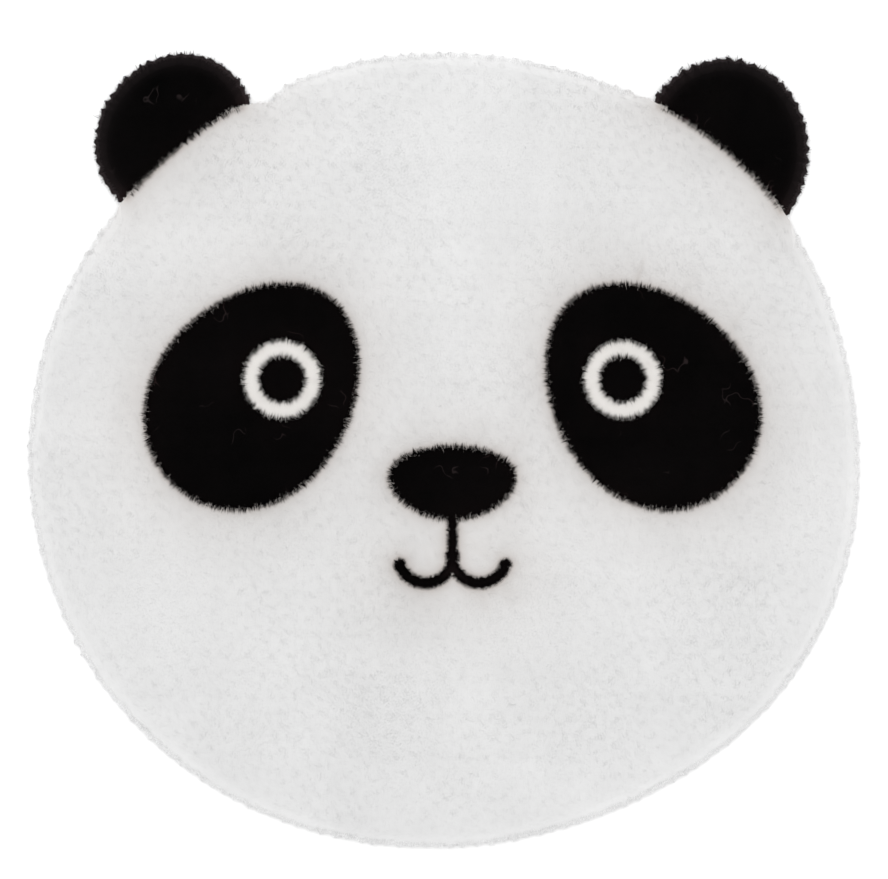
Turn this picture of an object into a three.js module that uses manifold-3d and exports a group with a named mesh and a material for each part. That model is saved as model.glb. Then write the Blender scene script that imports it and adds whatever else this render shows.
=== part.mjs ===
// A kids rug: the round head of a panda in short dense pile, lying flat.
// Millimetres, +Z up, +Y towards the ears, the underside at z = 0.
import * as THREE from 'three';
import { mergeVertices } from 'three/addons/utils/BufferGeometryUtils.js';
import Module from 'manifold-3d';

const wasm = await Module();
wasm.setup();

const TURN = 2 * Math.PI;
const radians = THREE.MathUtils.degToRad;

// The whole rug
const PILE_TOP = 16;
const SEAM_GAP = 0.3;

// The locks of pile round the rim: how far a tip stands past the hollow beside it,
// how far it leans sideways in columns, and how much it rises or droops as a share of the pile
const LOCK = { leastReach: 1.4, mostReach: 5.2, sway: 0.8, lift: 0.14 };

// The head panel, measured out to the middle of its rim locks
const HEAD = { halfWidth: 452, halfHeight: 433, lockCount: 192, seed: 1000 };

// How the hand-cut edge strays from a true oval
const EDGE_WAVES = [
  { perTurn: 2, depth: 2.5, peakAt: 35 },
  { perTurn: 3, depth: 2.0, peakAt: 92 },
  { perTurn: 4, depth: 2.0, peakAt: 55 },
  { perTurn: 5, depth: 1.5, peakAt: 40 },
  { perTurn: 6, depth: 0.9, peakAt: 39 },
];

// The edge also dips beside the left ear, within so many degrees of a bearing
const EDGE_DIP = { bearing: 117.3, halfWidth: 5, depth: 9 };

// Each ear is a disc, wider across one bearing, that the head's edge cuts off:
// its own bearing and reach lead from the head's centre to its middle
const EARS = [
  { name: 'ear_left', bearing: 130.6, reach: 451, radius: 88, flare: 5.4, flareAt: 53, seed: 2000 },
  { name: 'ear_right', bearing: 46.9, reach: 441.5, radius: 99, flare: 5.7, flareAt: 83, seed: 3000 },
];
const EAR_LOCK_COUNT = 48;

// Degrees past an ear's half-width at which the head's rim stops being sewn and is free again
const EAR_SEAM = { closed: 1.3, open: 3 };

// The face is the same on both sides of this line, which lies right of the head's centre
const FACE_LINE = 8;
const PATCH = { out: 213, up: 62, halfLength: 130, halfWidth: 103, lean: 38, taper: 0.1, steps: 56 };
const EYE_WHITE = { out: 184, up: 78, halfLength: 44, halfWidth: 44, lean: 0, taper: 0, steps: 32 };
const PUPIL = { out: 184, up: 78, halfLength: 23, halfWidth: 23, lean: 0, taper: 0, steps: 24 };
const NOSE = { out: 0, up: -34, halfLength: 38, halfWidth: 66, lean: 0, taper: -0.16, steps: 40 };
const MOUTH = { top: -60, foot: -112, stemWidth: 8, curlWidth: 9.5, steps: 14 };
const CURL = { out: 29, radius: 30, turn: 160 };

// The rim, from the underside up to the top: inset from the edge, share of a lock's reach,
// share of the pile's height where the rim is free and where it is sewn,
// and how many columns of points each lock has
const RIM = [
  { inset: 9, reach: 0, height: 0, sewnHeight: 0, perLock: 1 },
  { inset: 0, reach: 1, height: 0.3, sewnHeight: 0.3, perLock: 2 },
  { inset: 5, reach: 0.5, height: 0.74, sewnHeight: 0.74, perLock: 2 },
  { inset: 15, reach: 0, height: 0.96, sewnHeight: 1, perLock: 1 },
];
const TOP_RING_GAP = 34;
const TOP_COLUMN_GAP = 15;

// The top is uneven in low swells that run across the whole rug
const SWELLS = [
  { spacing: 170, bearing: 20, height: 0.5 },
  { spacing: 120, bearing: 95, height: 0.5 },
  { spacing: 85, bearing: 150, height: 0.4 },
];

const MATERIALS = {
  whitePile: new THREE.MeshStandardMaterial({ color: 0xe6e6e5, roughness: 1, metalness: 0 }),
  creamPile: new THREE.MeshStandardMaterial({ color: 0xe8e4e0, roughness: 1, metalness: 0 }),
  blackPile: new THREE.MeshStandardMaterial({ color: 0x0b0808, roughness: 1, metalness: 0 }),
};

// How one lock of a slab differs from the next, always the same for the same slab
function lockShape(slab, lock) {
  const reach = THREE.MathUtils.seededRandom(slab.seed + lock);
  const sway = THREE.MathUtils.seededRandom() - 0.5;
  const lift = THREE.MathUtils.seededRandom() - 0.5;
  return {
    reach: THREE.MathUtils.lerp(LOCK.leastReach, LOCK.mostReach, reach),
    sway: LOCK.sway * sway,
    lift: LOCK.lift * lift,
  };
}

function topHeight(x, y) {
  let height = PILE_TOP;
  for (const swell of SWELLS) {
    const along = x * Math.cos(radians(swell.bearing)) + y * Math.sin(radians(swell.bearing));
    height += swell.height * Math.sin(TURN * along / swell.spacing);
  }
  return height;
}

// How far an angle is from a bearing, either way round
function turnedFrom(bearing, angle) {
  const turned = THREE.MathUtils.euclideanModulo(angle - radians(bearing) + Math.PI, TURN);
  return Math.abs(turned - Math.PI);
}

// The distance from the head's centre to its edge
function headEdge(angle) {
  const { halfWidth, halfHeight } = HEAD;
  let edge = halfWidth * halfHeight;
  edge /= Math.hypot(halfHeight * Math.cos(angle), halfWidth * Math.sin(angle));
  for (const wave of EDGE_WAVES) {
    edge += wave.depth * Math.cos(wave.perTurn * (angle - radians(wave.peakAt)));
  }
  const fromDip = turnedFrom(EDGE_DIP.bearing, angle);
  return edge - EDGE_DIP.depth * (1 - THREE.MathUtils.smoothstep(fromDip, 0, radians(EDGE_DIP.halfWidth)));
}

// The distance from an ear's middle to its edge
function earEdge(ear, angle) {
  return ear.radius + ear.flare * Math.cos(2 * (angle - radians(ear.flareAt)));
}

// 1 where the head's rim is free, 0 where an ear is sewn to it
function headRimOpen(angle) {
  let open = 1;
  for (const ear of EARS) {
    const pastEar = turnedFrom(ear.bearing, angle) - Math.asin(ear.radius / ear.reach);
    const free = THREE.MathUtils.smoothstep(pastEar, radians(EAR_SEAM.closed), radians(EAR_SEAM.open));
    open = Math.min(open, free);
  }
  return open;
}

// A ring of points in the rim: where a lock has two columns, its tip is at the second
function rimRing(slab, row) {
  const count = slab.lockCount * row.perLock;
  const points = [];
  for (let i = 0; i < count; i++) {
    const lock = lockShape(slab, Math.floor(i / row.perLock));
    const isTip = i % row.perLock === 1;
    const open = slab.rimOpen(TURN * i / count);
    const angle = TURN * (i + (isTip ? open * lock.sway : 0)) / count;
    const swing = row.reach * lock.reach * (isTip ? 0.5 : -0.5);
    const radius = slab.edge(angle) + open * (swing - row.inset);
    const x = slab.centre.x + radius * Math.cos(angle);
    const y = slab.centre.y + radius * Math.sin(angle);
    const freeHeight = row.height + (isTip ? row.reach * lock.lift : 0);
    const share = THREE.MathUtils.lerp(row.sewnHeight, freeHeight, open);
    points.push(new THREE.Vector3(x, y, share * topHeight(x, y)));
  }
  return points;
}

// A ring of points on the top, at a share of the way out to the rim's last ring
function topRing(slab, count, share) {
  const crownInset = RIM.at(-1).inset;
  const points = [];
  for (let i = 0; i < count; i++) {
    const angle = TURN * i / count;
    const radius = share * (slab.edge(angle) - slab.rimOpen(angle) * crownInset);
    const x = slab.centre.x + radius * Math.cos(angle);
    const y = slab.centre.y + radius * Math.sin(angle);
    points.push(new THREE.Vector3(x, y, topHeight(x, y)));
  }
  return points;
}

// The triangles between two rings of the same count, or of one twice the other
function joinRings(first, second, faces) {
  const at = (ring, i) => ring.start + i % ring.count;
  const steps = Math.min(first.count, second.count);
  const a = first.count / steps;
  const b = second.count / steps;
  for (let i = 0; i < steps; i++) {
    const a0 = at(first, i * a);
    const a1 = at(first, (i + 1) * a);
    const b0 = at(second, i * b);
    const b1 = at(second, (i + 1) * b);
    if (a === 2) {
      const middle = at(first, i * a + 1);
      faces.push(a0, middle, b0, middle, b1, b0, middle, a1, b1);
    } else if (b === 2) {
      const middle = at(second, i * b + 1);
      faces.push(a0, middle, b0, a0, a1, middle, a1, b1, middle);
    } else {
      faces.push(a0, a1, b0, a1, b1, b0);
    }
  }
}

// A slab of pile: flat underside, a rim that swells out into locks, and an uneven top
function pileSlab(slab) {
  const rings = RIM.map((row) => rimRing(slab, row));
  const width = slab.edge(0);
  const ringCount = Math.round(width / TOP_RING_GAP);
  let count = slab.lockCount;
  for (let ring = ringCount - 1; ring > 0; ring--) {
    const share = ring / ringCount;
    const crowded = TURN * width * share / count < TOP_COLUMN_GAP;
    count = crowded && count % 2 === 0 ? count / 2 : count;
    rings.push(topRing(slab, count, share));
  }

  const points = rings.flat();
  const faces = [];
  const spans = [];
  for (const ring of rings) {
    const start = spans.length ? spans.at(-1).start + spans.at(-1).count : 0;
    spans.push({ start, count: ring.length });
  }
  for (let i = 1; i < spans.length; i++) {
    joinRings(spans[i - 1], spans[i], faces);
  }

  const { x, y } = slab.centre;
  const bottomCentre = points.push(new THREE.Vector3(x, y, 0)) - 1;
  const topCentre = points.push(new THREE.Vector3(x, y, topHeight(x, y))) - 1;
  const underside = spans[0];
  for (let i = 0; i < underside.count; i++) {
    faces.push(bottomCentre, underside.start + (i + 1) % underside.count, underside.start + i);
  }
  const innermost = spans.at(-1);
  for (let i = 0; i < innermost.count; i++) {
    faces.push(innermost.start + i, innermost.start + (i + 1) % innermost.count, topCentre);
  }

  const geometry = new THREE.BufferGeometry().setFromPoints(points);
  geometry.setIndex(faces);
  return toSolid(geometry);
}

// A closed mesh as a solid that can be cut and joined
function toSolid(geometry) {
  geometry.deleteAttribute('normal');
  geometry.deleteAttribute('uv');
  const merged = mergeVertices(geometry);
  const vertProperties = merged.attributes.position.array;
  const triVerts = new Uint32Array(merged.index.array);
  return new wasm.Manifold(new wasm.Mesh({ numProp: 3, vertProperties, triVerts }));
}

function toMesh(name, solid, material) {
  const { vertProperties, triVerts } = solid.getMesh();
  const geometry = new THREE.BufferGeometry();
  geometry.setAttribute('position', new THREE.BufferAttribute(vertProperties, 3));
  geometry.setIndex(new THREE.BufferAttribute(triVerts, 1));
  geometry.computeVertexNormals();
  const mesh = new THREE.Mesh(geometry, material);
  mesh.name = name;
  return mesh;
}

// An upright cutter that passes right through the pile
function cutter(shape) {
  const clearance = 5;
  const depth = PILE_TOP + 3 * clearance;
  const curveSegments = MOUTH.steps;
  const geometry = new THREE.ExtrudeGeometry(shape, { depth, curveSegments, bevelEnabled: false });
  geometry.translate(0, 0, -clearance);
  return toSolid(geometry);
}

// The head's outline as a cutter, wider by the seam's gap
function headCutter() {
  const count = 2 * HEAD.lockCount;
  const points = [];
  for (let i = 0; i < count; i++) {
    const angle = TURN * i / count;
    const radius = headEdge(angle) + SEAM_GAP;
    points.push(new THREE.Vector2(radius * Math.cos(angle), radius * Math.sin(angle)));
  }
  return cutter(new THREE.Shape(points));
}

// An egg or oval of the face, on the left (-1), the right (1) or the middle, grown all round by a gap
function eggCutter(egg, side, grow) {
  const centre = new THREE.Vector2(FACE_LINE + side * egg.out, egg.up);
  const points = [];
  for (let i = 0; i < egg.steps; i++) {
    const angle = TURN * i / egg.steps;
    const across = (egg.halfWidth + grow) * Math.cos(angle) * (1 - egg.taper * Math.sin(angle));
    const along = (egg.halfLength + grow) * Math.sin(angle);
    const point = new THREE.Vector2(centre.x + across, centre.y + along);
    points.push(point.rotateAround(centre, side * radians(egg.lean)));
  }
  return cutter(new THREE.Shape(points));
}

// A line of even width with round ends along part of a circle
function arcStroke(centre, radius, halfWidth, from, to) {
  const end = new THREE.Vector2(Math.cos(to), Math.sin(to)).multiplyScalar(radius).add(centre);
  const start = new THREE.Vector2(Math.cos(from), Math.sin(from)).multiplyScalar(radius).add(centre);
  const shape = new THREE.Shape();
  shape.absarc(centre.x, centre.y, radius + halfWidth, from, to, false);
  shape.absarc(end.x, end.y, halfWidth, to, to + Math.PI, false);
  shape.absarc(centre.x, centre.y, radius - halfWidth, to, from, true);
  shape.absarc(start.x, start.y, halfWidth, from + Math.PI, from + TURN, false);
  return shape;
}

// The mouth: a stem from the nose and a curl to each side of its foot
function mouthCutter(grow) {
  const stemHalf = MOUTH.stemWidth / 2 + grow;
  const curlHalf = MOUTH.curlWidth / 2 + grow;
  const stem = new THREE.Shape();
  stem.moveTo(FACE_LINE + stemHalf, MOUTH.top);
  stem.lineTo(FACE_LINE - stemHalf, MOUTH.top);
  stem.lineTo(FACE_LINE - stemHalf, MOUTH.foot);
  stem.lineTo(FACE_LINE + stemHalf, MOUTH.foot);
  let solid = cutter(stem);
  const turn = radians(CURL.turn);
  for (const side of [-1, 1]) {
    const centre = new THREE.Vector2(FACE_LINE + side * CURL.out, MOUTH.foot);
    const from = side < 0 ? -turn : Math.PI;
    solid = solid.add(cutter(arcStroke(centre, CURL.radius, curlHalf, from, from + turn)));
  }
  return solid;
}

const head = pileSlab({
  centre: new THREE.Vector2(0, 0),
  edge: headEdge,
  rimOpen: headRimOpen,
  lockCount: HEAD.lockCount,
  seed: HEAD.seed,
});

// The face pieces are cut from the head's own pile, and the head panel is what is left
function buildFace(rug) {
  let panel = head;
  for (const side of [-1, 1]) {
    const word = side < 0 ? 'left' : 'right';
    const patch = head.intersect(eggCutter(PATCH, side, 0)).subtract(eggCutter(EYE_WHITE, side, SEAM_GAP));
    const white = head.intersect(eggCutter(EYE_WHITE, side, 0)).subtract(eggCutter(PUPIL, side, SEAM_GAP));
    const pupil = head.intersect(eggCutter(PUPIL, side, 0));
    rug.add(toMesh(`eye_patch_${word}`, patch, MATERIALS.blackPile.clone()));
    rug.add(toMesh(`eye_white_${word}`, white, MATERIALS.creamPile.clone()));
    rug.add(toMesh(`pupil_${word}`, pupil, MATERIALS.blackPile.clone()));
    panel = panel.subtract(eggCutter(PATCH, side, SEAM_GAP));
  }

  const nose = head.intersect(eggCutter(NOSE, 0, 0));
  const mouth = head.intersect(mouthCutter(0)).subtract(eggCutter(NOSE, 0, SEAM_GAP));
  rug.add(toMesh('nose', nose, MATERIALS.blackPile.clone()));
  rug.add(toMesh('mouth', mouth, MATERIALS.blackPile.clone()));
  panel = panel.subtract(eggCutter(NOSE, 0, SEAM_GAP)).subtract(mouthCutter(SEAM_GAP));
  rug.add(toMesh('head_panel', panel, MATERIALS.whitePile));
}

function buildEars(rug) {
  for (const ear of EARS) {
    const bearing = radians(ear.bearing);
    const slab = pileSlab({
      centre: new THREE.Vector2(Math.cos(bearing), Math.sin(bearing)).multiplyScalar(ear.reach),
      edge: (angle) => earEdge(ear, angle),
      rimOpen: () => 1,
      lockCount: EAR_LOCK_COUNT,
      seed: ear.seed,
    });
    rug.add(toMesh(ear.name, slab.subtract(headCutter()), MATERIALS.blackPile.clone()));
  }
}

const rug = new THREE.Group();
buildFace(rug);
buildEars(rug);

// The origin is on the floor under the middle of the whole rug
const middle = new THREE.Box3().setFromObject(rug).getCenter(new THREE.Vector3());
rug.position.set(-middle.x, -middle.y, 0);

export default rug;
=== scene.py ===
# A kids rug in plush pile, shaped as a panda's head, lying on a pale floor.
# Metres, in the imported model's frame: +Z up, +Y towards the ears.
import math

import bmesh
import bpy
import numpy as np
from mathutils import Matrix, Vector
from mathutils.bvhtree import BVHTree
from mathutils.kdtree import KDTree


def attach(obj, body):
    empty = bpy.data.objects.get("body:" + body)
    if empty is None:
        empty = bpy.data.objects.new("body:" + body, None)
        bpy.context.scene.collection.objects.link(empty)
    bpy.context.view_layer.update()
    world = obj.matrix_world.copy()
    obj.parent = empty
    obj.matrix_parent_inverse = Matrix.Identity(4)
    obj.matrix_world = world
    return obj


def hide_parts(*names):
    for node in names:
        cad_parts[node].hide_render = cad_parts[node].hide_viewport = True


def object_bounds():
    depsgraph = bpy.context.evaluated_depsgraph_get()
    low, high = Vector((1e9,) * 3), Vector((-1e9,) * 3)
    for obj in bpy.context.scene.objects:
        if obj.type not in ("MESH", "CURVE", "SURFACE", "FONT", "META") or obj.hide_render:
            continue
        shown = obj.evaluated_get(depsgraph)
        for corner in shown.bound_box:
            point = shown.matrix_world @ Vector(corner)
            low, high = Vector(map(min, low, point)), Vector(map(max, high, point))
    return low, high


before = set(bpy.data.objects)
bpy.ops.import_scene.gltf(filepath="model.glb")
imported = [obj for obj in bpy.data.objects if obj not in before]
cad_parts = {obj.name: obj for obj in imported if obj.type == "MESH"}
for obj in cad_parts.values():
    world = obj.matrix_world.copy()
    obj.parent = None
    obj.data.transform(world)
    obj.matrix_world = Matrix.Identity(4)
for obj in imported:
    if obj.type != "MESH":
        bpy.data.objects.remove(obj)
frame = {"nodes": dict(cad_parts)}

cad_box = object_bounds()
rng = np.random.default_rng(20)

MM = 0.001
TURN = 2 * math.pi


def by_pile(**lengths):
    """A length for each colour of pile, given in millimetres."""
    return {f"{colour}_pile": length * MM for colour, length in lengths.items()}


WHITE_NODES = ("head_panel",)
CREAM_NODES = ("eye_white_left", "eye_white_right")
NARROW_NODES = ("mouth",)
EAR_NODES = ("ear_left", "ear_right")

# The edges of the ground cloths: the gap between the points taken along them, how far out from one
# the next node is looked for, and how high off the floor still counts as flat
EDGE_STEP = 1.2 * MM
SEAM_PROBE = 3 * MM
FLAT = 0.01 * MM

# Heights of the cloth: its woven ground, its pile, and how much of each tuft shows above the dense
# foot. Where the pile is lower than FULL_PILE less shows, and the foot rises to stand on the ground.
GROUND_THICKNESS = 1.6 * MM
PILE_TOP = 16.0 * MM
FULL_PILE = 10.0 * MM
TUFT_SHOWN = 0.7 * MM

# How much of its overhang past the ground cloth the foot loses at a free rim, and how its long edges
# are split near the rims and seams, where its colour changes fast
FOOT_DRAWN_IN = 0.15
SPLIT_ROUNDS = 2
SPLIT_LENGTH = 5 * MM
SPLIT_REACH = 22 * MM

# The standing pile: tufts with three sides on an even grid, each pushed aside a little. Their radii
# are between two shares of TUFT_RADIUS, and so for the strands further on. Their tips end a little
# under or over the solid's surface, and they are longer near a free rim.
SIDES = 3
TUFT_GAP = 1.75 * MM
TUFT_JITTER = 0.4 * TUFT_GAP
TUFT_RADIUS = 1.0 * MM
TUFT_RADII = (0.8, 1.15)
TUFT_SHADES = (0.4, 0.6)
TUFT_ENDS = (-0.2 * MM, 0.1 * MM)
TUFT_ROOT = 1.0 * MM
TUFT_LONGER = 1.2 * MM
PIECE_TUFTS = 62000

# How the pile leans, as a slope: all of it, in broad patches, in clumps, and from tuft to tuft
NAP = np.array((0.12, -0.45))
PATCH_SWAY = 0.12
PATCH_SPANS = (60 * MM, 380 * MM)
CLUMP_SWAY = 0.25
CLUMP_SPANS = (7 * MM, 22 * MM)
TUFT_SWAY = 0.2
NORMAL_SWAY = 0.04

# The free rim, rounded like the edge of the solid: its widest place is low down. Its strands stand
# in rows, placed by their angle round the edge, and bow upward between root and tip.
RIM_ROUND = 14 * MM
RIM_WIDEST = 5 * MM
RIM_BAND = 18 * MM
RIM_ROWS = 5
RIM_LOWEST = math.radians(-20)
RIM_HIGHEST = math.radians(48)
RIM_RADIUS = 0.42 * MM
RIM_RADII = (0.8, 1.2)
RIM_TAPER = 0.8
RIM_BOW = 1.1 * MM

# Where a strand at the rim has its root: how far past the ground cloth, how much further in when it
# rises, and its height as a share of the tip's and a rise
ROOT_OUT = 2 * MM
ROOT_IN = 4 * MM
ROOT_SHARE = 0.6
ROOT_RISE = 1.5 * MM

# Where it has its tip: gathered into lobes of uneven depth, some strands longer than the rest, and all
# of them trimmed, with a drift along the edge and an uneven height over the floor
SCALLOP = by_pile(white=1.2, black=1.0)
LOBE_SPANS = (9 * MM, 30 * MM)
LOBE_MOST = 1.2
LOBE_MIDDLE = 0.8
DEPTH_SPANS = (30 * MM, 120 * MM)
DEPTH_MOST = 1.3
STRAY = by_pile(white=0.8, black=1.2)
TRIM = 1.0 * MM
TRIM_SPREAD = 0.4 * MM
DRIFT = 0.6 * MM
DRIFT_SPANS = (5 * MM, 14 * MM)
DRIFT_SPREAD = 0.8 * MM
HEIGHT_SPREAD = 0.5 * MM
LOWEST_TIP = 0.6 * MM

# How the notches in the ears' rims are bridged: the span that is taken together, and the share of
# its furthest reach in the result, where its mean has the rest
LOCK_SPAN = 7 * MM
LOCK_SHARE = 0.3

# How far the normals turn outward, and how much painted light lifts the pile's colour against the shade
# between its tufts: near a free rim, where it slopes down to one, and on the strands there
RIM_TURN = 0.2
SLOPE_TURN = 0.5
STRAND_TURN = 0.7
RIM_PAINTED_LIGHT = 0.8
SLOPE_PAINTED_LIGHT = 4
STRAND_PAINTED_LIGHT = 8.2

# The strands that cross a seam into the next colour: how thick they are, how far they cross and stray,
# how high they lie, where their roots are inside the seam, and how they gather and drift along it
SEAM_STRANDS = 6
SEAM_RADIUS = by_pile(white=0.37, cream=0.33, black=0.44)
SEAM_RADII = (0.6, 1.2)
SEAM_CROSSING = by_pile(white=-0.1, cream=0.2, black=2.2)
SEAM_SPREAD = by_pile(white=1.4, cream=0.95, black=1.8)
SEAM_STRAY = by_pile(white=0.4, cream=0.2, black=1.1)
SEAM_LIFT = by_pile(white=-0.3, cream=-0.4, black=0.1)
SEAM_ENDS = (0.1 * MM, 0.7 * MM)
SEAM_ROOTS = (0.2 * MM, 3.0 * MM)
SEAM_INSET = 0.5 * MM
SEAM_GROUP = 0.6 * MM
SEAM_GROUP_SPANS = (3.5 * MM, 11 * MM)
SEAM_DRIFT = 0.8 * MM
SEAM_DRIFT_SPANS = (4 * MM, 13 * MM)
SEAM_DRIFT_SPREAD = 0.5 * MM
SEAM_TURN = 0.2

# How far they may cross: into most nodes, and where the mouth's narrow line is on either side
SEAM_REACH = 8 * MM
NARROW_REACH = 4.5 * MM

# The tint beside a seam, partly the next colour's fibres mixed in and partly painted shade on the white
# and cream, and a fainter one that reaches further
SEAM_TINT_AND_SHADE_REACH = 5 * MM
FAR_TINT_AND_SHADE_REACH = 45 * MM
FAR_TINT_AND_SHADE = 0.45

# The patterns in a pile's colour, as the scales of noises over the plan, and the shares of the cloud's
# strength that the smaller ones have. Noises and shades have 0.5 as their middle.
MIDDLE = 0.5
CLOUD_SCALE = 7
SMALL_CLOUD_SCALE = 38
SMALL_CLOUD_SHARE = 0.4
STREAK_SCALE = 30
STREAK_SQUEEZE = 0.12
STREAK_SHARE = 0.5

# Lint lies along the middle of one noise, where a second one is high
LINT_SCALE = 42
LINT_FINENESS = 70
LINT_PATCH_SCALE = 27
LINT_PATCH_FROM = 0.64
LINT_PATCH_EDGE = 14

# The finest fibres, in the roughness and in a slight bump
FIBRE_SCALE = 900
SMOOTHEST = 0.88
ROUGHEST = 1.0
FIBRE_BUMP = 0.15
FIBRE_DEPTH = 0.3 * MM
SHEEN_ROUGHNESS = 0.6

# The stage: a floor just below the rug, and a soft lamp over it
FLOOR_HALF = 6.0
FLOOR_DROP = 0.1 * MM
FLOOR_COLOUR = (0.97, 0.97, 0.97)
FLOOR_ROUGHNESS = 0.9
FLOOR_SPECULAR = 0.1
SKY_STRENGTH = 1.0
LAMP_SIZE = 2.2
LAMP_POWER = 28
LAMP_PLACE = (-0.1, 0.6, 2.6)

# The photograph's frame: its width and the head's in pixels, and the place that its middle shows
IMAGE_WIDTH = 888
HEAD_PIXELS = 828
HEAD_WIDTH = 900 * MM
VIEW_CENTRE = (0.16 * MM, 11.4 * MM)
CAMERA_HEIGHT = 2.6
SENSOR_WIDTH = 36


def slot_of(node):
    """The slot of a node's material, as the record names it."""
    if node in WHITE_NODES:
        return "white_pile"
    return "cream_pile" if node in CREAM_NODES else "black_pile"


def plan_key(point):
    """A point's place on the plan to a micrometre, so that corners that are shared compare as one."""
    return round(point.x, 6), round(point.y, 6)


def underside_faces(mesh):
    """The triangles of a node's flat underside, each as its corners' places on the plan."""
    faces = []
    for triangle in mesh.loop_triangles:
        corners = [mesh.vertices[i].co for i in triangle.vertices]
        if max(c.z for c in corners) <= FLAT:
            faces.append([plan_key(c) for c in corners])
    return faces


class Solids:
    """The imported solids, asked where each node's ground is and how far out and up its pile reaches."""

    def __init__(self, nodes):
        points = []
        faces = []
        self.owners = []
        self.flat_edges = {}
        for name in sorted(nodes):
            mesh = nodes[name].data
            mesh.calc_loop_triangles()
            first = len(points)
            points += [v.co.copy() for v in mesh.vertices]
            for triangle in mesh.loop_triangles:
                faces.append([first + i for i in triangle.vertices])
                self.owners.append(name)
            self.flat_edges[name] = self.underside_edges(mesh)
        self.tree = BVHTree.FromPolygons(points, faces, epsilon=0)

    @staticmethod
    def underside_edges(mesh):
        """The edges round a node's flat underside, each with the inner corner of its face."""
        edges = {}
        for a, b, c in underside_faces(mesh):
            for start, end, inner in ((a, b, c), (b, c, a), (c, a, b)):
                edges.setdefault(frozenset((start, end)), []).append((start, end, inner))
        return [found[0] for found in edges.values() if len(found) == 1]

    def node_at(self, x, y):
        """The name of the node whose underside is at this place, or None."""
        place, _, face, _ = self.tree.ray_cast(Vector((x, y, -1)), Vector((0, 0, 1)))
        if place is None or place.z > FLAT:
            return None
        return self.owners[face]

    def top_at(self, x, y):
        """The pile's height at this place, or that of most of it where there is no pile."""
        place = self.tree.ray_cast(Vector((x, y, 1)), Vector((0, 0, -1)))[0]
        return place.z if place else PILE_TOP

    def surface_over(self, x, y):
        """The place on top of the pile, the way out of its surface and its node, or None."""
        place, normal, face, _ = self.tree.ray_cast(Vector((x, y, 1)), Vector((0, 0, -1)))
        return (place, normal, self.owners[face]) if place else None

    def reach_from(self, place, out):
        """How far the solid's side stands out past its ground, at its widest height."""
        start = Vector((place.x, place.y, RIM_WIDEST))
        distance = self.tree.ray_cast(start, Vector((out.x, out.y, 0)))[3]
        return min(distance or 0, RIM_ROUND)


class Edges:
    """Points along the edges of the ground cloths, with the way out and the reach at each.

    The reach is how far out the solid stands at a free rim, or how far strands may cross at a seam.
    """

    def __init__(self):
        self.rows = []

    def add(self, node, place, out, reach):
        self.rows.append((node, place.x, place.y, out.x, out.y, reach))

    def of(self, node):
        """Those of one node, or None where it has none."""
        some = Edges()
        some.rows = [row for row in self.rows if row[0] == node]
        return some.close() if some.rows else None

    def close(self):
        """Turns the rows into arrays and a tree, once all of them are there."""
        self.nodes = np.array([row[0] for row in self.rows])
        numbers = np.array([row[1:] for row in self.rows])
        self.places = numbers[:, :2]
        self.outs = numbers[:, 2:4]
        self.reaches = numbers[:, 4]
        self.tree = KDTree(len(self.rows))
        for i, (x, y) in enumerate(self.places):
            self.tree.insert((x, y, 0), i)
        self.tree.balance()
        return self

    def even_out(self, nodes, span):
        """Bridges notches in some nodes' reach, with a mix of the mean and the furthest in a span."""
        evened = self.reaches.copy()
        for i in np.flatnonzero(np.isin(self.nodes, nodes)):
            near = [found[1] for found in self.tree.find_range((*self.places[i], 0), span)]
            around = self.reaches[near]
            evened[i] = (1 - LOCK_SHARE) * around.mean() + LOCK_SHARE * around.max()
        self.reaches = evened

    def nearest(self, places):
        """For each place which point is nearest, and how far off it is."""
        found = [self.tree.find((x, y, 0)) for x, y in places]
        return np.array([f[1] for f in found]), np.array([f[2] for f in found])


def find_edges(solids):
    """The free rims, and the seams as seen from each side of them."""
    rims = Edges()
    seams = Edges()
    for node, edges in solids.flat_edges.items():
        for start, end, inner in edges:
            start, end, inner = Vector(start), Vector(end), Vector(inner)
            run = end - start
            out = Vector((run.y, -run.x)).normalized()
            if out.dot(inner - start) > 0:
                out = -out
            count = max(1, round(run.length / EDGE_STEP))
            for step in range(count):
                place = start + run * (step + 0.5) / count
                beside = solids.node_at(*(place + out * SEAM_PROBE))
                if beside is None:
                    rims.add(node, place, out, solids.reach_from(place, out))
                else:
                    narrow = node in NARROW_NODES or beside in NARROW_NODES
                    seams.add(node, place, out, NARROW_REACH if narrow else SEAM_REACH)
    return rims.close(), seams.close()


def crossing_waves(shortest, longest, count=20):
    """A smooth uneven number over the plan, mostly from -2 to 2, as a function of places."""
    lengths = rng.uniform(shortest, longest, count)
    bearings, phases = rng.uniform(0, TURN, (2, count))
    steps = TURN * np.stack([np.cos(bearings), np.sin(bearings)]) / lengths

    def height(places):
        return np.sin(places @ steps + phases).sum(1) / math.sqrt(count / 2)

    return height


def two_waves(shortest, longest):
    """An uneven push along X and Y, as a function of places."""
    along_x = crossing_waves(shortest, longest)
    along_y = crossing_waves(shortest, longest)
    return lambda places: np.stack([along_x(places), along_y(places)], 1)


def unit(vectors):
    """The same ways, each with a length of one."""
    return vectors / np.linalg.norm(vectors, axis=1, keepdims=True)


def along_edge(out):
    """The ways along an edge, a quarter turn from the ways out of it."""
    return np.column_stack([-out[:, 1], out[:, 0]])


def new_mesh(name, points, triangles):
    """A mesh of triangles, each given as three numbers of points."""
    mesh = bpy.data.meshes.new(name)
    mesh.vertices.add(len(points))
    mesh.vertices.foreach_set("co", np.ascontiguousarray(points, np.float32).ravel())
    mesh.loops.add(3 * len(triangles))
    mesh.loops.foreach_set("vertex_index", np.ascontiguousarray(triangles, np.int32).ravel())
    mesh.polygons.add(len(triangles))
    mesh.polygons.foreach_set("loop_start", np.arange(0, 3 * len(triangles), 3, dtype=np.int32))
    mesh.update(calc_edges=True)
    return mesh


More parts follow.
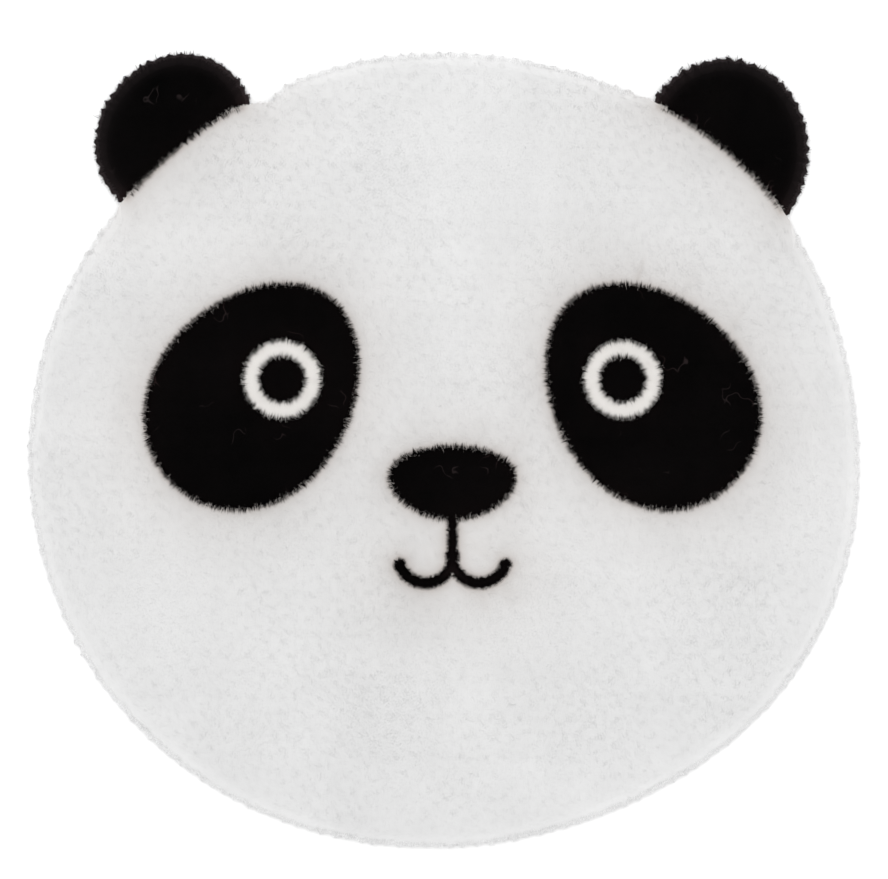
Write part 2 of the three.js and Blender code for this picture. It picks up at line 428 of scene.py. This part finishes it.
def add_plan_map(mesh):
    """A map that lays the piece out as seen from above, for whoever bakes its colours."""
    low, high = cad_box
    size = max(high.x - low.x, high.y - low.y)
    layer = mesh.uv_layers.new(name="OFBake")
    points = np.empty(3 * len(mesh.vertices), np.float32)
    mesh.vertices.foreach_get("co", points)
    corners = np.empty(len(mesh.loops), np.int32)
    mesh.loops.foreach_get("vertex_index", corners)
    flat = points.reshape(-1, 3)[corners][:, :2]
    flat = (flat - np.array([low.x, low.y])) / size
    layer.data.foreach_set("uv", np.ascontiguousarray(flat, np.float32).ravel())


def new_piece(name, node, points, triangles, values, normals=None):
    """A piece that stands for a node, with the values that its material reads at each point."""
    mesh = new_mesh(name, points, triangles)
    for value, amounts in values.items():
        layer = mesh.attributes.new(value, "FLOAT", "POINT")
        layer.data.foreach_set("value", np.ascontiguousarray(amounts, np.float32))
    if normals is not None:
        mesh.polygons.foreach_set("use_smooth", np.ones(len(triangles), bool))
        mesh.normals_split_custom_set_from_vertices(normals)
    add_plan_map(mesh)

    piece = bpy.data.objects.new(name, mesh)
    bpy.context.scene.collection.objects.link(piece)
    slot = slot_of(node)
    mesh.materials.append(materials[slot])
    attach(piece, "root")
    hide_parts(node)
    return piece


def seam_tint_and_shade_at(seam_distance):
    """How much seam tint and painted shade the pile takes: much close to a seam, a little some way off.
    """
    return np.exp(-seam_distance / SEAM_TINT_AND_SHADE_REACH) + FAR_TINT_AND_SHADE * np.exp(-seam_distance / FAR_TINT_AND_SHADE_REACH)


def rim_turn_and_painted_light(near_rim, way_out):
    """How far the normals turn outward, and the painted light on the pile where it slopes to a free rim.
    """
    slope = near_rim * (1 - way_out[:, 2] ** 2)
    outward = RIM_TURN * near_rim ** 2 + SLOPE_TURN * slope
    painted_light = RIM_PAINTED_LIGHT * near_rim ** 2 + SLOPE_PAINTED_LIGHT * slope
    return outward, painted_light


def soft_normals(tilt, out, outward):
    """Upright normals, turned a little by the pile's lie and outward near the free rim."""
    return unit(np.column_stack([tilt + out * outward[:, None], np.ones(len(out))]))


def rim_around(rims, node, places):
    """At each place the way out to the node's own free rim, how far past it and how near it is."""
    own = rims.of(node)
    if own is None:
        none = np.zeros(len(places))
        return np.column_stack([none, none]), none, none
    index, distance = own.nearest(places)
    out = own.outs[index]
    beyond = np.einsum("ij,ij->i", places - own.places[index], out)
    beyond = np.where(distance < RIM_ROUND, np.maximum(beyond, 0), 0)
    near = np.where(beyond > 0, 1, np.clip(1 - distance / RIM_BAND, 0, 1))
    return out, beyond, near


def tuft_object(name, node, rings, tips, radii, normals, values):
    """Tufts as one piece: rings are the centres of each tuft's rings of points, from the root up."""
    count = len(tips)
    levels = len(rings)
    per_tuft = SIDES * levels + 1
    axis = unit(tips - rings[0])
    across = rng.normal(0, 1, (count, 3))
    across = unit(across - axis * np.einsum("ij,ij->i", across, axis)[:, None])
    beside = np.cross(axis, across)
    points = np.empty((count, per_tuft, 3))
    for level, centres in enumerate(rings):
        for corner in range(SIDES):
            angle = TURN * corner / SIDES
            spoke = across * math.cos(angle) + beside * math.sin(angle)
            points[:, SIDES * level + corner] = centres + radii[level][:, None] * spoke
    points[:, -1] = tips

    pattern = []
    for level in range(levels):
        for corner in range(SIDES):
            a = SIDES * level + corner
            b = SIDES * level + (corner + 1) % SIDES
            if level == levels - 1:
                pattern.append((a, b, per_tuft - 1))
            else:
                pattern += [(a, b, a + SIDES), (b, b + SIDES, a + SIDES)]
    firsts = np.arange(count)[:, None, None] * per_tuft
    triangles = (np.array(pattern)[None] + firsts).reshape(-1, 3)

    steps = np.append(np.repeat(np.arange(levels) / levels, SIDES), 1.0)
    point_values = {"along": np.tile(steps, count)}
    for value, amounts in values.items():
        point_values[value] = np.repeat(amounts, per_tuft)
    normals = np.repeat(normals, per_tuft, axis=0)
    return new_piece(name, node, points.reshape(-1, 3), triangles, point_values, normals)


def tuft_tips(solids):
    """Tips scattered evenly over the pile's surface, the way out of it, and the node of each."""
    low, high = cad_box
    columns = np.arange(low.x, high.x, TUFT_GAP)
    rows = np.arange(low.y, high.y, TUFT_GAP * math.sqrt(3) / 2)
    x, y = np.meshgrid(columns, rows)
    x[1::2] += TUFT_GAP / 2
    places = np.stack([x.ravel(), y.ravel()], 1)
    places += rng.uniform(-TUFT_JITTER, TUFT_JITTER, places.shape)
    found = [solids.surface_over(*place) for place in places]
    tips, ways_out, owners = zip(*(surface for surface in found if surface))
    return np.array(tips), np.array(ways_out), np.array(owners)


def grow_field(solids, rims, seams):
    """The standing pile over each ground cloth, in wedges where it is too much for one piece."""
    all_tips, all_ways_out, owners = tuft_tips(solids)
    patches = two_waves(*PATCH_SPANS)
    clumps = two_waves(*CLUMP_SPANS)
    for node in sorted(frame["nodes"]):
        mine = owners == node
        tips, way_out = all_tips[mine], all_ways_out[mine]
        places = tips[:, :2]
        count = len(tips)
        out, _, near_rim = rim_around(rims, node, places)
        _, seam_distance = seams.nearest(places)

        patch, clump = patches(places), clumps(places)
        lean = NAP + PATCH_SWAY * patch + CLUMP_SWAY * clump + rng.normal(0, TUFT_SWAY, (count, 2))
        stand = unit(way_out + np.column_stack([lean, np.zeros(count)]))
        length = TUFT_SHOWN + TUFT_ROOT + TUFT_LONGER * near_rim ** 2
        tips = tips + stand * rng.uniform(*TUFT_ENDS, (count, 1))
        roots = tips - stand * length[:, None]
        outward, painted_light = rim_turn_and_painted_light(near_rim, way_out)
        normals = soft_normals(NORMAL_SWAY * (patch + clump), out, outward)
        radii = TUFT_RADIUS * rng.uniform(*TUFT_RADII, count)
        # The "rim" value is painted light near a free rim and where the pile slopes down to one
        values = {
            "shade": rng.uniform(*TUFT_SHADES, count),
            "seam_tint_and_shade": seam_tint_and_shade_at(seam_distance),
            "rim": painted_light,
        }

        around = np.argsort(np.arctan2(*(places - places.mean(0)).T))
        parts = max(1, math.ceil(count / PIECE_TUFTS))
        for part, chosen in enumerate(np.array_split(around, parts)):
            name = f"{node}_pile" if parts == 1 else f"{node}_pile_{part + 1}"
            part_values = {value: amounts[chosen] for value, amounts in values.items()}
            tuft_object(name, node, [roots[chosen]], tips[chosen], [radii[chosen]],
                        normals[chosen], part_values)


def grow_rims(rims):
    """The pile that leans out over the free edges, gathered into small uneven scallops."""
    lobes = crossing_waves(*LOBE_SPANS)
    depths = crossing_waves(*DEPTH_SPANS)
    drifts = crossing_waves(*DRIFT_SPANS)
    for node in sorted(set(rims.nodes)):
        slot = slot_of(node)
        mine = np.flatnonzero(rims.nodes == node)
        row = np.tile(np.arange(RIM_ROWS), len(mine))
        mine = np.repeat(mine, RIM_ROWS)
        count = len(mine)
        place, out = rims.places[mine], rims.outs[mine]
        side = along_edge(out)
        slide = rng.uniform(-1, 1, count) * EDGE_STEP
        place = place + side * slide[:, None]

        lift = RIM_LOWEST + (RIM_HIGHEST - RIM_LOWEST) * (row + rng.uniform(0, 1, count)) / RIM_ROWS
        outward = np.cos(lift)
        lobe = np.minimum(np.abs(lobes(place)), LOBE_MOST) - LOBE_MIDDLE
        scallop = lobe * np.minimum(np.abs(depths(place)), DEPTH_MOST)
        stray = rng.exponential(STRAY[slot], count) - rng.normal(TRIM, TRIM_SPREAD, count)
        reach = rims.reaches[mine] - RIM_ROUND * (1 - outward)
        reach += (SCALLOP[slot] * scallop + stray) * outward
        drift = DRIFT * drifts(place) + rng.normal(0, DRIFT_SPREAD, count)
        height = RIM_WIDEST + (PILE_TOP - RIM_WIDEST) * np.sin(lift)
        height = np.maximum(height + rng.normal(0, HEIGHT_SPREAD, count), LOWEST_TIP)

        root_out = ROOT_OUT - ROOT_IN * np.sin(np.maximum(lift, 0))
        roots = np.column_stack([place + out * root_out[:, None], ROOT_SHARE * height + ROOT_RISE])
        tips = np.column_stack([place + out * reach[:, None] + side * drift[:, None], height])
        middles = (roots + tips) / 2
        middles[:, 2] += RIM_BOW * outward
        normals = soft_normals(0, out, STRAND_TURN * outward)
        radii = RIM_RADIUS * rng.uniform(*RIM_RADII, count)
        # The "rim" value is painted light, strongest on the strands that point straight out
        values = {
            "shade": rng.uniform(0, 1, count),
            "seam_tint_and_shade": np.zeros(count),
            "rim": 1 + STRAND_PAINTED_LIGHT * outward ** 2,
        }
        tuft_object(f"{node}_rim", node, [roots, middles], tips, [radii, RIM_TAPER * radii],
                    normals, values)


def grow_seams(solids, seams):
    """The fine strands that lean over a seam from both its sides."""
    groups = crossing_waves(*SEAM_GROUP_SPANS)
    drifts = crossing_waves(*SEAM_DRIFT_SPANS)
    for node in sorted(set(seams.nodes)):
        slot = slot_of(node)
        mine = np.repeat(np.flatnonzero(seams.nodes == node), SEAM_STRANDS)
        count = len(mine)
        place, out = seams.places[mine], seams.outs[mine]
        most = seams.reaches[mine]
        inward = rng.uniform(*SEAM_ROOTS, count)
        crossing = SEAM_CROSSING[slot] + SEAM_GROUP * groups(place)
        crossing += rng.normal(0, SEAM_SPREAD[slot], count) + rng.exponential(SEAM_STRAY[slot], count)
        crossing = np.clip(crossing * most / SEAM_REACH, -inward, most)
        drift = SEAM_DRIFT * drifts(place) + rng.normal(0, SEAM_DRIFT_SPREAD, count)
        tops = np.array([solids.top_at(x, y) for x, y in place - out * SEAM_INSET])
        tops += SEAM_LIFT[slot]

        roots = np.column_stack([place - out * inward[:, None], tops])
        tip_places = place + out * crossing[:, None] + along_edge(out) * drift[:, None]
        tips = np.column_stack([tip_places, tops + rng.uniform(*SEAM_ENDS, count)])
        normals = soft_normals(0, out, np.full(count, SEAM_TURN))
        radii = SEAM_RADIUS[slot] * rng.uniform(*SEAM_RADII, count)
        values = {"shade": rng.uniform(0, 1, count), "seam_tint_and_shade": np.ones(count), "rim": np.zeros(count)}
        tuft_object(f"{node}_seam", node, [roots], tips, [radii], normals, values)


def split_near_edges(source, rims, seams):
    """A solid's points, the ways out there and its triangles, finer on top near the rims and seams."""
    shape = bmesh.new()
    shape.from_mesh(source)
    for _ in range(SPLIT_ROUNDS):
        long_edges = [edge for edge in shape.edges if edge.calc_length() > SPLIT_LENGTH]
        long_edges = [edge for edge in long_edges if min(v.co.z for v in edge.verts) > FLAT]
        middles = np.array([(edge.verts[0].co + edge.verts[1].co) / 2 for edge in long_edges])
        if len(middles) == 0:
            break
        off = np.minimum(rims.nearest(middles[:, :2])[1], seams.nearest(middles[:, :2])[1])
        chosen = [edge for edge, distance in zip(long_edges, off) if distance < SPLIT_REACH]
        bmesh.ops.subdivide_edges(shape, edges=chosen, cuts=1)
        bmesh.ops.triangulate(shape, faces=shape.faces[:])
    shape.normal_update()
    points = np.array([v.co for v in shape.verts])
    ways_out = np.array([v.normal for v in shape.verts])
    shape.verts.index_update()
    triangles = np.array([[v.index for v in face.verts] for face in shape.faces])
    shape.free()
    return points, ways_out, triangles


def foot_height(top):
    """How high the dense foot is under a pile of a given height."""
    share = np.clip(top / FULL_PILE, 0, 1)
    return top - TUFT_SHOWN * share + GROUND_THICKNESS * (1 - share)


def pile_foot(name, node, rims, seams):
    """The dense foot of a node's pile: the solid's own form, lower and drawn in at the free rim."""
    points, ways_out, triangles = split_near_edges(frame["nodes"][node].data, rims, seams)
    out, beyond, near_rim = rim_around(rims, node, points[:, :2])
    points[:, :2] -= out * (FOOT_DRAWN_IN * beyond)[:, None]
    points[:, 2] = foot_height(points[:, 2])
    outward, painted_light = rim_turn_and_painted_light(near_rim, ways_out)
    _, seam_distance = seams.nearest(points[:, :2])
    # The foot takes the painted shade of a tuft's root all over, and the painted light near a free rim
    values = {
        "along": np.zeros(len(points)),
        "shade": np.full(len(points), MIDDLE),
        "seam_tint_and_shade": seam_tint_and_shade_at(seam_distance),
        "rim": painted_light,
    }
    return new_piece(name, node, points, triangles, values, soft_normals(0, out, outward))


def ground_cloth(name, node):
    """A slab with the outline of a node's underside, as thick as the woven ground."""
    corners = {}
    down = []
    for face in underside_faces(frame["nodes"][node].data):
        down.append([corners.setdefault(key, len(corners)) for key in face])
    plan = np.array(list(corners))
    count = len(plan)
    low = np.column_stack([plan, np.zeros(count)])
    high = np.column_stack([plan, np.full(count, GROUND_THICKNESS)])
    up = [[a + count, c + count, b + count] for a, b, c in down]
    edges = {(a, b) for face in down for a, b in zip(face, face[1:] + face[:1])}
    walls = []
    for a, b in sorted(edges):
        if (b, a) not in edges:
            walls += [[b, a, a + count], [b, a + count, b + count]]
    # The cloth takes the painted shade of a tuft's root
    nothing = np.zeros(2 * count)
    values = {"along": nothing, "shade": nothing + MIDDLE, "seam_tint_and_shade": nothing, "rim": nothing}
    return new_piece(name, node, np.concatenate([low, high]), np.array(down + up + walls), values)


def lay_cloths(rims, seams):
    """Under the pile of each node, the dense foot of the pile and its ground cloth."""
    for node in sorted(frame["nodes"]):
        pile_foot(f"{node}_foot", node, rims, seams)
        cloth = ground_cloth(f"{node}_cloth", node)


def link(tree, source, target):
    tree.links.new(source, target)


def noise(tree, place, scale, detail=2, stretch=(1, 1, 1)):
    """A smooth uneven value from 0 to 1, of the place times a stretch and a scale."""
    mapping = tree.nodes.new("ShaderNodeMapping")
    mapping.inputs["Scale"].default_value = stretch
    link(tree, place, mapping.inputs["Vector"])
    texture = tree.nodes.new("ShaderNodeTexNoise")
    texture.inputs["Scale"].default_value = scale
    texture.inputs["Detail"].default_value = detail
    link(tree, mapping.outputs["Vector"], texture.inputs["Vector"])
    return texture.outputs["Fac"]


def maths(tree, operation, first, second=0):
    """One operation on two values, each a number or what another node gives."""
    node = tree.nodes.new("ShaderNodeMath")
    node.operation = operation
    for socket, value in zip(node.inputs, (first, second)):
        if isinstance(value, (int, float)):
            socket.default_value = value
        else:
            link(tree, value, socket)
    return node.outputs[0]


def attribute(tree, name):
    """A value that the piece's points carry."""
    node = tree.nodes.new("ShaderNodeAttribute")
    node.attribute_name = name
    return node.outputs["Fac"]


def wisps(tree, place):
    """Thin curly lines of lint, here and there over the plan: 0 between them and up to 1 on them."""
    flat = (1, 1, 0)
    curls = noise(tree, place, LINT_SCALE, 1, flat)
    off_line = maths(tree, "ABSOLUTE", maths(tree, "SUBTRACT", curls, MIDDLE))
    line = maths(tree, "SUBTRACT", 1, maths(tree, "MULTIPLY", off_line, LINT_FINENESS))
    line = maths(tree, "MAXIMUM", line, 0)
    patch = maths(tree, "SUBTRACT", noise(tree, place, LINT_PATCH_SCALE, 0, flat), LINT_PATCH_FROM)
    patch = maths(tree, "MINIMUM", maths(tree, "MULTIPLY", patch, LINT_PATCH_EDGE), 1)
    patch = maths(tree, "MAXIMUM", patch, 0)
    return maths(tree, "MULTIPLY", line, patch)


def add_fibres(tree, place, shader):
    """The finest fibres, too small for geometry: an uneven roughness and a slight bump."""
    fibres = noise(tree, place, FIBRE_SCALE)
    rougher = maths(tree, "MULTIPLY", fibres, ROUGHEST - SMOOTHEST)
    link(tree, maths(tree, "ADD", rougher, SMOOTHEST), shader.inputs["Roughness"])
    bump = tree.nodes.new("ShaderNodeBump")
    bump.inputs["Strength"].default_value = FIBRE_BUMP
    bump.inputs["Distance"].default_value = FIBRE_DEPTH
    link(tree, fibres, bump.inputs["Height"])
    link(tree, bump.outputs["Normal"], shader.inputs["Normal"])


def pile_material(name, colour, seam_tint_and_shade_colour, cloud, grain, root_shadow,
                  painted_rim_light=0, lint=0, specular=0.1, sheen=0):
    """Matt plush: cloudy patches, faint streaks, tufts each a little different, painted shade at the
    root.
    """
    material = bpy.data.materials.new(name)
    material.use_nodes = True
    tree = material.node_tree
    shader = tree.nodes["Principled BSDF"]
    shader.inputs["Specular IOR Level"].default_value = specular
    shader.inputs["Sheen Weight"].default_value = sheen
    shader.inputs["Sheen Roughness"].default_value = SHEEN_ROUGHNESS
    place = tree.nodes.new("ShaderNodeTexCoord").outputs["Object"]

    streaks_x = noise(tree, place, STREAK_SCALE, stretch=(STREAK_SQUEEZE, 1, 1))
    streaks_y = noise(tree, place, STREAK_SCALE, stretch=(1, STREAK_SQUEEZE, 1))
    terms = (
        (noise(tree, place, CLOUD_SCALE), MIDDLE, cloud),
        (noise(tree, place, SMALL_CLOUD_SCALE), MIDDLE, cloud * SMALL_CLOUD_SHARE),
        (streaks_y, MIDDLE, cloud * STREAK_SHARE),
        (streaks_x, MIDDLE, cloud * STREAK_SHARE),
        (attribute(tree, "shade"), MIDDLE, grain),
        # Painted shade towards each tuft's root, then painted light near a free rim
        (attribute(tree, "along"), 1, root_shadow),
        (attribute(tree, "rim"), 0, painted_rim_light),
        (wisps(tree, place), 0, lint),
    )
    total = 1
    for value, middle, strength in terms:
        offset = maths(tree, "SUBTRACT", value, middle)
        total = maths(tree, "ADD", maths(tree, "MULTIPLY", offset, strength), total)

    # The seam tint: the next colour's fibres mixed in, and on the white and cream a painted shade
    tint = tree.nodes.new("ShaderNodeMix")
    tint.data_type = "RGBA"
    tint.inputs["A"].default_value = (*colour, 1)
    tint.inputs["B"].default_value = (*seam_tint_and_shade_colour, 1)
    link(tree, attribute(tree, "seam_tint_and_shade"), tint.inputs["Factor"])
    scale = tree.nodes.new("ShaderNodeVectorMath")
    scale.operation = "SCALE"
    link(tree, tint.outputs["Result"], scale.inputs[0])
    link(tree, total, scale.inputs["Scale"])
    link(tree, scale.outputs[0], shader.inputs["Base Color"])
    add_fibres(tree, place, shader)
    return material


def floor_material():
    material = bpy.data.materials.new("floor_paint")
    material.use_nodes = True
    shader = material.node_tree.nodes["Principled BSDF"]
    shader.inputs["Base Color"].default_value = (*FLOOR_COLOUR, 1)
    shader.inputs["Roughness"].default_value = FLOOR_ROUGHNESS
    shader.inputs["Specular IOR Level"].default_value = FLOOR_SPECULAR
    return material


def make_floor():
    """A pale floor that the rug lies on, far wider than the picture."""
    half = FLOOR_HALF
    corners = [(-half, -half, 0), (half, -half, 0), (half, half, 0), (-half, half, 0)]
    mesh = bpy.data.meshes.new("floor")
    mesh.from_pydata(corners, [], [(0, 1, 2, 3)])
    mesh.materials.append(floor_material())
    floor = bpy.data.objects.new("floor", mesh)
    floor.location.z = -FLOOR_DROP
    bpy.context.scene.collection.objects.link(floor)


def make_lights():
    """A white sky all round, and a soft lamp that looks at the middle of the rug."""
    world = bpy.data.worlds.new("studio")
    bpy.context.scene.world = world
    world.use_nodes = True
    background = world.node_tree.nodes["Background"]
    background.inputs["Color"].default_value = (1, 1, 1, 1)
    background.inputs["Strength"].default_value = SKY_STRENGTH
    lamp = bpy.data.lights.new("soft_box", "AREA")
    lamp.size = LAMP_SIZE
    lamp.energy = LAMP_POWER
    holder = bpy.data.objects.new("soft_box", lamp)
    holder.location = LAMP_PLACE
    holder.rotation_euler = (-holder.location).to_track_quat("-Z", "Y").to_euler()
    bpy.context.scene.collection.objects.link(holder)


def make_camera():
    """Straight above, with the head as wide in the picture as in the photograph."""
    lens = bpy.data.cameras.new("camera")
    lens.sensor_width = SENSOR_WIDTH
    seen = HEAD_WIDTH * IMAGE_WIDTH / HEAD_PIXELS
    lens.lens = SENSOR_WIDTH * CAMERA_HEIGHT / seen
    camera = bpy.data.objects.new("camera", lens)
    camera.location = (*VIEW_CENTRE, CAMERA_HEIGHT)
    bpy.context.scene.collection.objects.link(camera)
    bpy.context.scene.camera = camera


# Each pile's second colour is its seam tint: a painted shade on the white and cream, a warmer tone on
# the black
materials = {
    "white_pile": pile_material(
        "white_plush", (0.645, 0.645, 0.645), (0.45, 0.42, 0.40),
        cloud=0.12, grain=0.06, root_shadow=0.01, painted_rim_light=0.06),
    "cream_pile": pile_material(
        "cream_plush", (0.69, 0.67, 0.65), (0.60, 0.58, 0.555),
        cloud=0.06, grain=0.06, root_shadow=0.01),
    "black_pile": pile_material(
        "black_plush", (0.0015, 0.0012, 0.00125), (0.0020, 0.0012, 0.0012),
        cloud=1.4, grain=1.6, root_shadow=0.3, painted_rim_light=3.2, lint=9, specular=0.03, sheen=0.007),
}

solids = Solids(frame["nodes"])
rims, seams = find_edges(solids)
rims.even_out(EAR_NODES, LOCK_SPAN)
make_floor()
lay_cloths(rims, seams)
grow_field(solids, rims, seams)
grow_rims(rims)
grow_seams(solids, seams)
make_lights()
make_camera()
bpy.context.scene.view_settings.view_transform = "Standard"
